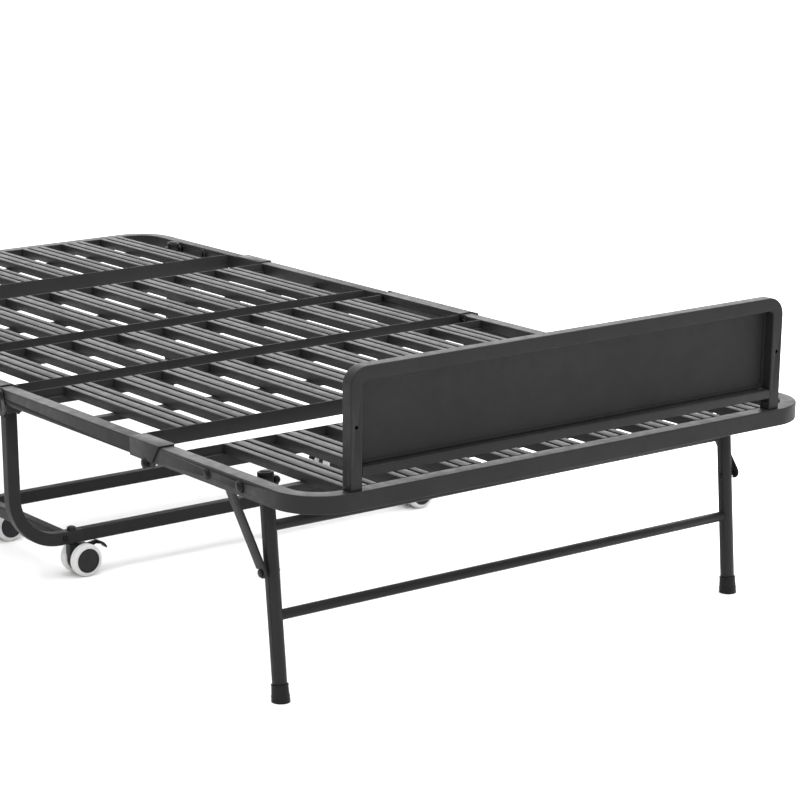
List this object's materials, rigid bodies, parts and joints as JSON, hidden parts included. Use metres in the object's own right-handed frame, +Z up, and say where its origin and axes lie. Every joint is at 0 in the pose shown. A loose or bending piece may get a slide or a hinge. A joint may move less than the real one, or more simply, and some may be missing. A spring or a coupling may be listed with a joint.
{
  "type": "folding_bed",
  "caption": "Single folding guest bed: slatted steel deck in hinged sections on a wheeled centre base, hooked folding legs at both ends and a low head panel",
  "frame": {"origin": "On the floor under the middle of the open bed, at the bottom centre of its bounding box.", "axes": "+X to the head end, +Y to the right side seen from the foot end looking to the head, +Z up."},
  "size_m": [1.922, 0.9708, 0.5015],
  "materials": {
    "frame_paint": "satin charcoal powder coat with a faint orange-peel texture",
    "slat_paint": "satin charcoal powder coat on thin rolled sheet",
    "panel_paint": "satin charcoal powder coat on pressed sheet",
    "fastener_steel": "blackened steel bolts and rivets",
    "cap_plastic": "matte black moulded plastic",
    "housing_plastic": "dark grey moulded plastic",
    "hub_plastic": "dark grey moulded wheel disc",
    "lever_plastic": "black moulded plastic",
    "tyre_rubber": "light grey soft tread",
    "stem_steel": "blackened steel stem and nut"
  },
  "bodies": {
    "base": {"base_bolts": "fastener_steel", "base_cross_bars": "frame_paint", "base_side_bars": "frame_paint", "base_uprights": "frame_paint", "caster_stems": "stem_steel", "centre_cross_bars": "frame_paint", "centre_hinge_channels": "frame_paint", "centre_hinge_rivets": "fastener_steel", "centre_slats": "slat_paint"},
    "head_middle": {"head_middle_rails": "frame_paint", "head_hinge_channels": "frame_paint", "head_middle_cross_members": "frame_paint", "head_middle_slats": "slat_paint", "head_hinge_bolts": "fastener_steel"},
    "head_end": {"head_end_frame": "frame_paint", "head_hinge_lugs": "frame_paint", "head_end_cross_members": "frame_paint", "head_end_slats": "slat_paint", "head_pivot_bolts": "fastener_steel", "head_panel_frame": "frame_paint", "head_panel_rail": "frame_paint", "head_panel_sheet": "panel_paint", "head_panel_fixings": "frame_paint"},
    "head_legs": {"head_leg_tubes": "frame_paint", "head_leg_crossbars": "frame_paint", "head_leg_caps": "cap_plastic", "head_latch_studs": "fastener_steel"},
    "head_left_brace": {"head_brace_left": "frame_paint"},
    "head_right_brace": {"head_brace_right": "frame_paint"},
    "foot_middle": {"foot_middle_rails": "frame_paint", "foot_hinge_channels": "frame_paint", "foot_middle_cross_members": "frame_paint", "foot_middle_slats": "slat_paint", "foot_hinge_bolts": "fastener_steel"},
    "foot_end": {"foot_end_frame": "frame_paint", "foot_hinge_lugs": "frame_paint", "foot_end_cross_members": "frame_paint", "foot_end_slats": "slat_paint", "foot_pivot_bolts": "fastener_steel"},
    "foot_legs": {"foot_leg_tubes": "frame_paint", "foot_leg_crossbars": "frame_paint", "foot_leg_caps": "cap_plastic", "foot_latch_studs": "fastener_steel"},
    "foot_left_brace": {"foot_brace_left": "frame_paint"},
    "foot_right_brace": {"foot_brace_right": "frame_paint"},
    "head_left_caster": {"head_left_caster_housing": "housing_plastic"},
    "head_left_wheels": {"head_left_caster_tyres": "tyre_rubber", "head_left_caster_hubs": "hub_plastic"},
    "head_right_caster": {"head_right_caster_housing": "housing_plastic"},
    "head_right_wheels": {"head_right_caster_tyres": "tyre_rubber", "head_right_caster_hubs": "hub_plastic"},
    "foot_left_caster": {"foot_left_caster_housing": "housing_plastic"},
    "foot_left_wheels": {"foot_left_caster_tyres": "tyre_rubber", "foot_left_caster_hubs": "hub_plastic"},
    "foot_right_caster": {"foot_right_caster_housing": "housing_plastic"},
    "foot_right_wheels": {"foot_right_caster_tyres": "tyre_rubber", "foot_right_caster_hubs": "hub_plastic"},
    "head_left_lever": {"head_left_brake_lever": "lever_plastic"},
    "foot_right_lever": {"foot_right_brake_lever": "lever_plastic"}
  },
  "joints": [
    {"name": "head_middle_fold", "type": "hinge", "parent": "base", "child": "head_middle", "pos_m": [0.127, 0, 0.3185], "axis": [0, -1, 0], "range_deg": [0, 90]},
    {"name": "head_end_fold", "type": "hinge", "parent": "head_middle", "child": "head_end", "pos_m": [0.555, 0, 0.2985], "axis": [0, 1, 0], "range_deg": [0, 90]},
    {"name": "head_legs_fold", "type": "hinge", "parent": "head_end", "child": "head_legs", "pos_m": [0.802, 0, 0.3175], "axis": [0, 1, 0], "range_deg": [0, 75]},
    {"name": "head_left_brace_swing", "type": "hinge", "parent": "head_end", "child": "head_left_brace", "pos_m": [0.719, -0.453, 0.3175], "axis": [0, -1, 0], "range_deg": [0, 36]},
    {"name": "head_right_brace_swing", "type": "hinge", "parent": "head_end", "child": "head_right_brace", "pos_m": [0.719, 0.453, 0.3175], "axis": [0, -1, 0], "range_deg": [0, 36]},
    {"name": "foot_middle_fold", "type": "hinge", "parent": "base", "child": "foot_middle", "pos_m": [-0.127, 0, 0.3185], "axis": [0, 1, 0], "range_deg": [0, 90]},
    {"name": "foot_end_fold", "type": "hinge", "parent": "foot_middle", "child": "foot_end", "pos_m": [-0.555, 0, 0.2985], "axis": [0, -1, 0], "range_deg": [0, 90]},
    {"name": "foot_legs_fold", "type": "hinge", "parent": "foot_end", "child": "foot_legs", "pos_m": [-0.802, 0, 0.3175], "axis": [0, -1, 0], "range_deg": [0, 75]},
    {"name": "foot_left_brace_swing", "type": "hinge", "parent": "foot_end", "child": "foot_left_brace", "pos_m": [-0.719, -0.453, 0.3175], "axis": [0, 1, 0], "range_deg": [0, 36]},
    {"name": "foot_right_brace_swing", "type": "hinge", "parent": "foot_end", "child": "foot_right_brace", "pos_m": [-0.719, 0.453, 0.3175], "axis": [0, 1, 0], "range_deg": [0, 36]},
    {"name": "head_left_caster_swivel", "type": "hinge", "parent": "base", "child": "head_left_caster", "pos_m": [0.128, -0.3625, 0.05], "axis": [0, 0, 1], "continuous": true},
    {"name": "head_left_wheels_spin", "type": "hinge", "parent": "head_left_caster", "child": "head_left_wheels", "pos_m": [0.128, -0.346, 0.027], "axis": [1, 0, 0], "continuous": true},
    {"name": "head_right_caster_swivel", "type": "hinge", "parent": "base", "child": "head_right_caster", "pos_m": [0.128, 0.3625, 0.05], "axis": [0, 0, 1], "continuous": true},
    {"name": "head_right_wheels_spin", "type": "hinge", "parent": "head_right_caster", "child": "head_right_wheels", "pos_m": [0.128, 0.346, 0.027], "axis": [1, 0, 0], "continuous": true},
    {"name": "foot_left_caster_swivel", "type": "hinge", "parent": "base", "child": "foot_left_caster", "pos_m": [-0.128, -0.3625, 0.05], "axis": [0, 0, 1], "continuous": true},
    {"name": "foot_left_wheels_spin", "type": "hinge", "parent": "foot_left_caster", "child": "foot_left_wheels", "pos_m": [-0.128, -0.346, 0.027], "axis": [1, 0, 0], "continuous": true},
    {"name": "foot_right_caster_swivel", "type": "hinge", "parent": "base", "child": "foot_right_caster", "pos_m": [-0.128, 0.3625, 0.05], "axis": [0, 0, 1], "continuous": true},
    {"name": "foot_right_wheels_spin", "type": "hinge", "parent": "foot_right_caster", "child": "foot_right_wheels", "pos_m": [-0.128, 0.346, 0.027], "axis": [1, 0, 0], "continuous": true},
    {"name": "head_left_lever_press", "type": "hinge", "parent": "head_left_caster", "child": "head_left_lever", "pos_m": [0.128, -0.3355, 0.043], "axis": [-1, 0, 0], "range_deg": [0, 12]},
    {"name": "foot_right_lever_press", "type": "hinge", "parent": "foot_right_caster", "child": "foot_right_lever", "pos_m": [-0.128, 0.3355, 0.043], "axis": [1, 0, 0], "range_deg": [0, 12]}
  ]
}
